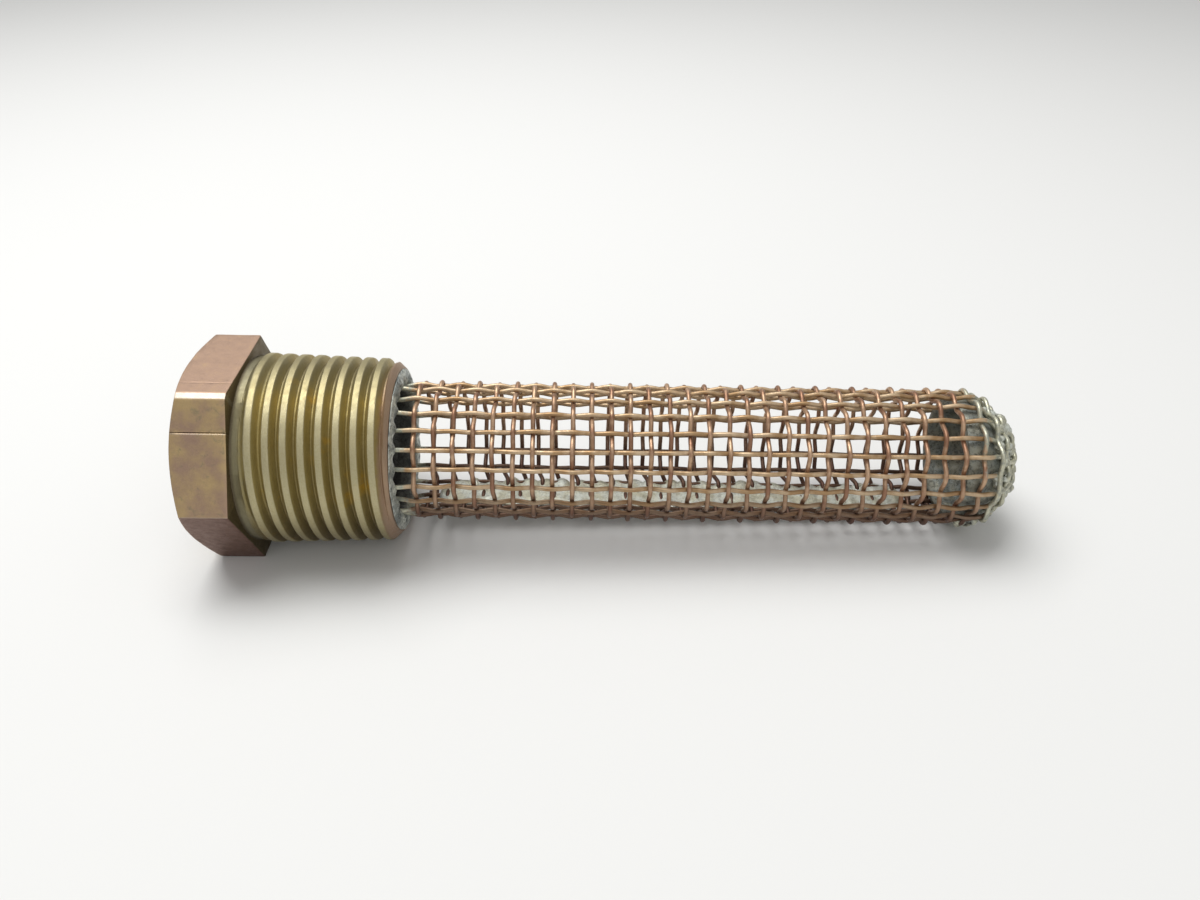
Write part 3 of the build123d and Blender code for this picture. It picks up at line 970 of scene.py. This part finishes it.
def build_cup(context):
    """Tinned cup inside the tip, dimpled by the cloth it was pressed into."""
    cloth = Sizes(context.scene.strainer_cloth)
    begin = crown_start(cloth)
    mouth = begin - cloth.cup_skirt
    cells = len(LONG_NODES)
    turns = [360.0 * step / (cells * 10) for step in range(cells * 10)]
    outside = [(mouth + cloth.cup_skirt * step / 12, 6.85) for step in range(13)]
    outside += [
        (begin + 4.35 * sin(rise), 6.85 * cos(rise) + 0.02)
        for rise in (radians(3.0 * step) for step in range(1, 30))
    ]
    inside = [
        (begin + 3.5 * sin(rise), 6.1 * cos(rise) + 0.02)
        for rise in (radians(89.0 - 6.0 * step) for step in range(15))
    ]
    inside += [(mouth + 0.05, 6.1)]
    rows = []
    for index, (along, radius) in enumerate(outside + inside):
        swell = []
        for turn in turns:
            place = polar(along, radius, turn)
            around = (radians(turn) - cloth.seam_angle) * cells / (2.0 * pi)
            lengthwise = (along - cloth.first_ring) / cloth.pitch
            dimple = cos(2.0 * pi * around) + cos(2.0 * pi * lengthwise)
            weight = min(1.0, radius / 3.0)
            dent = crown_dent(cloth, along, turn) * weight
            lump = 0.10 * lumps(place, 1.6, 1.0) + 0.06 * lumps(place, 0.6, 4.0)
            swell.append(radius + weight * (lump - 0.05 * dimple) - dent)
        rows.append([along, np.array(swell), index])
    mesh = turned_mesh("cup", turns, rows)
    finish = solder_material(context.scene, "tinned_cup", "cup_grey", "solder_grey", 71.0, 0.55)
    add_piece("cup", mesh, finish, ["end_cup"])


def build_crown(context):
    """Lumps of solder that bind the long wires over the tip, with the cloth's last rings."""
    cloth = Sizes(context.scene.strainer_cloth)
    begin = crown_start(cloth)
    chance = Random(19)
    beads = bpy.data.metaballs.new("beads")
    beads.resolution = 0.13
    beads.render_resolution = 0.13
    beads.threshold = 0.35

    def bead(rise, turn, size, lift=0.0):
        element = beads.elements.new()
        along = begin + (cloth.crown_height + lift) * sin(radians(rise))
        radius = (cloth.radius + lift) * cos(radians(rise)) - crown_dent(cloth, along, turn)
        element.co = Vector(polar(along, radius, turn))
        element.radius = size

    seam = cloth.seam_angle * 180.0 / pi
    for index in range(len(LONG_NODES)):
        turn = seam + 360.0 * index / len(LONG_NODES)
        covered = 0.95 if sin(radians(turn)) > 0.2 else 0.6
        for rise in range(14, 76, 7):
            if chance.random() < covered * min(1.0, rise / 40.0 + 0.2):
                size = chance.uniform(0.5, 0.85) if chance.random() < 0.75 else chance.uniform(0.9, 1.2)
                bead(rise + chance.uniform(-5, 5), turn + chance.uniform(-7, 7), size, chance.uniform(-0.5, 0.05))
    for step in range(34):
        bead(chance.uniform(60, 90), chance.uniform(0, 360), chance.uniform(0.6, 1.15), chance.uniform(-0.5, 0.0))
    for step in range(22):
        under = -90 + chance.uniform(-42, 42)
        bead(chance.uniform(-6, 24), under, chance.uniform(0.7, 1.2), chance.uniform(-0.1, 0.25))
    host = bpy.data.objects.new("beads", beads)
    bpy.context.scene.collection.objects.link(host)
    bpy.context.view_layer.update()
    mesh = bpy.data.meshes.new_from_object(host.evaluated_get(bpy.context.evaluated_depsgraph_get()))
    bpy.data.objects.remove(host)
    # Pit weights for painted shade where the surface dips.
    depths = []
    for vertex in mesh.vertices:
        rough = lumps(vertex.co, 0.8, 2.0) + 0.5 * lumps(vertex.co, 0.35, 6.0)
        depths.append(min(1.0, max(0.0, -rough * 1.6 - 0.25)))
        vertex.co += vertex.normal * 0.16 * rough
    mesh.attributes.new("pit", "FLOAT", "POINT").data.foreach_set("value", depths)
    finish = solder_material(context.scene, "crown_solder", "solder", "tin", 81.0, 0.45)
    add_piece("crown_solder", mesh, finish, ["tip_solder"])

    tree = wire_tree("Crown Ring", ring_path, RING_INPUTS)
    wire_finish = wire_material(context.scene, "tinned_crown_wires", "tin", "wire_tan", 91.0, -1.5)
    for index, rise in enumerate((17.0, 36.0, 56.0)):
        values = ring_values(cloth, len(RING_NODES) + index, wire_finish)
        values["Along"] = begin + cloth.crown_height * sin(radians(rise))
        values["Sleeve Radius"] = cloth.radius * cos(radians(rise)) + 0.35
        values["Wobble"] = cloth.wobble * 2.6
        values["Crimp"] = cloth.ring_crimp * 0.9
        values["Sag"] = cloth.crown_sag * (0.55, 0.95, 0.4)[index]
        mesh = grow_wire(tree, f"crown_ring_{index + 1}", values)
        add_piece(f"crown_ring_{index + 1}", mesh, wire_finish)


# Stage


def build_stage(context):
    """Pale floor, soft light and the camera."""
    stage = context.scene.strainer_stage
    scene = context.scene
    scene.view_settings.view_transform = "Standard"
    floor_mesh = bpy.data.meshes.new("floor")
    reach = 3.0
    corners = [(-reach, -reach, 0), (reach, -reach, 0), (reach, reach, 0), (-reach, reach, 0)]
    floor_mesh.from_pydata(corners, [], [(0, 1, 2, 3)])
    material, graph = new_material("floor")
    surface = graph.node(
        "ShaderNodeBsdfPrincipled",
        inputs={"Base Color": rgba(stage.floor), "Roughness": 0.8, "Specular IOR Level": 0.2},
    )
    graph.node("ShaderNodeOutputMaterial", inputs={"Surface": surface})
    floor_mesh.materials.append(material)
    floor = bpy.data.objects.new("floor", floor_mesh)
    scene.collection.objects.link(floor)

    world = bpy.data.worlds.new("room")
    world.use_nodes = True
    sky = Graph(world.node_tree)
    light = sky.node("ShaderNodeBackground", inputs={"Color": (1, 1, 1, 1), "Strength": stage.sky})
    sky.node("ShaderNodeOutputWorld", inputs={"Surface": light})
    scene.world = world

    soft_light("key", (-0.10, 0.10, 0.42), 0.34, stage.key)
    soft_light("fill", (0.16, -0.42, 0.30), 0.30, stage.fill)

    data = bpy.data.cameras.new("camera")
    data.lens = stage.lens
    data.sensor_width = 36.0
    data.clip_start = 0.001
    camera = bpy.data.objects.new("camera", data)
    camera.location = stage.camera_place
    turn = Matrix.Rotation(radians(90) - stage.camera_tilt, 4, "X")
    camera.matrix_world = (
        Matrix.Translation(Vector(stage.camera_place))
        @ turn
        @ Matrix.Rotation(stage.camera_roll, 4, "Z")
    )
    scene.collection.objects.link(camera)
    scene.camera = camera


def soft_light(name, place, size, power):
    """A square lamp that points at the middle of the strainer."""
    data = bpy.data.lights.new(name, "AREA")
    data.shape = "SQUARE"
    data.size = size
    data.energy = power
    lamp = bpy.data.objects.new(name, data)
    lamp.location = place
    lamp.rotation_euler = (-Vector(place)).to_track_quat("-Z", "Y").to_euler()
    bpy.context.scene.collection.objects.link(lamp)


class STRAINER_OT_bushing(bpy.types.Operator):
    """Build the threaded brass bushing"""

    bl_idname = "strainer.bushing"
    bl_label = "Bushing"

    def execute(self, context):
        build_bushing(context)
        return {"FINISHED"}


class STRAINER_OT_long_wires(bpy.types.Operator):
    """Build the wires that run the length of the sleeve"""

    bl_idname = "strainer.long_wires"
    bl_label = "Long Wires"

    def execute(self, context):
        build_long_wires(context)
        return {"FINISHED"}


class STRAINER_OT_ring_wires(bpy.types.Operator):
    """Build the wires that run round the sleeve"""

    bl_idname = "strainer.ring_wires"
    bl_label = "Ring Wires"

    def execute(self, context):
        build_ring_wires(context)
        return {"FINISHED"}


class STRAINER_OT_solder(bpy.types.Operator):
    """Build the solder at the socket and along the seam"""

    bl_idname = "strainer.solder"
    bl_label = "Collar and Seam"

    def execute(self, context):
        build_collar(context)
        build_seam(context)
        return {"FINISHED"}


class STRAINER_OT_tip(bpy.types.Operator):
    """Build the cup and the soldered crown"""

    bl_idname = "strainer.tip"
    bl_label = "Cup and Crown"

    def execute(self, context):
        build_cup(context)
        build_crown(context)
        return {"FINISHED"}


class STRAINER_OT_stage(bpy.types.Operator):
    """Build the floor, the light and the camera"""

    bl_idname = "strainer.stage"
    bl_label = "Stage"

    def execute(self, context):
        build_stage(context)
        return {"FINISHED"}


OPERATORS = (
    STRAINER_OT_bushing,
    STRAINER_OT_long_wires,
    STRAINER_OT_ring_wires,
    STRAINER_OT_solder,
    STRAINER_OT_tip,
    STRAINER_OT_stage,
)


class STRAINER_PT_build(bpy.types.Panel):
    """Buttons and sizes of the strainer"""

    bl_label = "Strainer"
    bl_idname = "STRAINER_PT_build"
    bl_space_type = "VIEW_3D"
    bl_region_type = "UI"
    bl_category = "Strainer"

    def draw(self, context):
        for operator in OPERATORS:
            self.layout.operator(operator.bl_idname)
        for name, group in SETTINGS.items():
            column = self.layout.column()
            for field in group.__annotations__:
                column.prop(getattr(context.scene, name), field)


def register():
    for group in SETTINGS.values():
        bpy.utils.register_class(group)
    for name, group in SETTINGS.items():
        setattr(bpy.types.Scene, name, bpy.props.PointerProperty(type=group))
    for operator in OPERATORS:
        bpy.utils.register_class(operator)
    bpy.utils.register_class(STRAINER_PT_build)


def unregister():
    bpy.utils.unregister_class(STRAINER_PT_build)
    for operator in reversed(OPERATORS):
        bpy.utils.unregister_class(operator)
    for name in SETTINGS:
        delattr(bpy.types.Scene, name)
    for group in reversed(SETTINGS.values()):
        bpy.utils.unregister_class(group)


def main():
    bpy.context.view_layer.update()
    register()
    bpy.ops.strainer.bushing()
    bpy.ops.strainer.long_wires()
    bpy.ops.strainer.ring_wires()
    bpy.ops.strainer.solder()
    bpy.ops.strainer.tip()
    bpy.ops.strainer.stage()
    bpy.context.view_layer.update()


if __name__ == "__main__":
    main()
